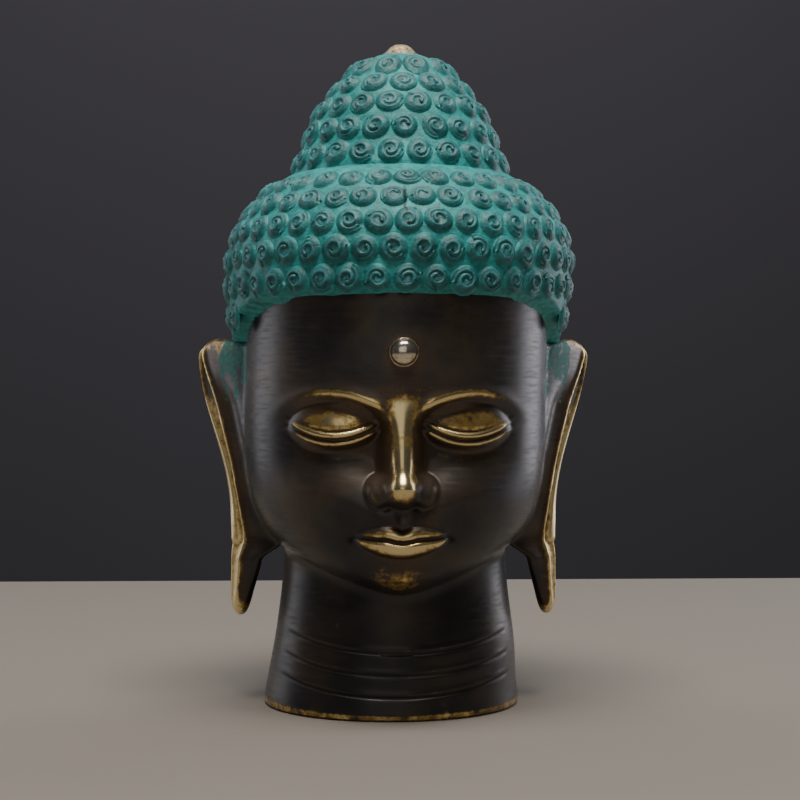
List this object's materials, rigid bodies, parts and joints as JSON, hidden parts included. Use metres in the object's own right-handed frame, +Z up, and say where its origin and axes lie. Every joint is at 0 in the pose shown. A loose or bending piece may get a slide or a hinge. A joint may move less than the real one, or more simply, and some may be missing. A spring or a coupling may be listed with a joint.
{
  "type": "cast brass buddha head",
  "caption": "Freestanding cast brass Buddha head with snail-shell curls, a domed topknot, long hanging earlobes and a flared neck cut flat as its foot",
  "frame": {"origin": "The middle of the flat underside of the neck foot, on the surface the head stands on", "axes": "+Z up to the tip of the topknot, the face looks along -Y, +X is the statue's own left"},
  "size_m": [0.1496, 0.1514, 0.25],
  "materials": {
    "patinated_brass": "dark brown patina with rubbed bright ridges, and green verdigris paint on the hair"
  },
  "bodies": {
    "root": {"buddha_head": "patinated_brass"}
  },
  "joints": []
}
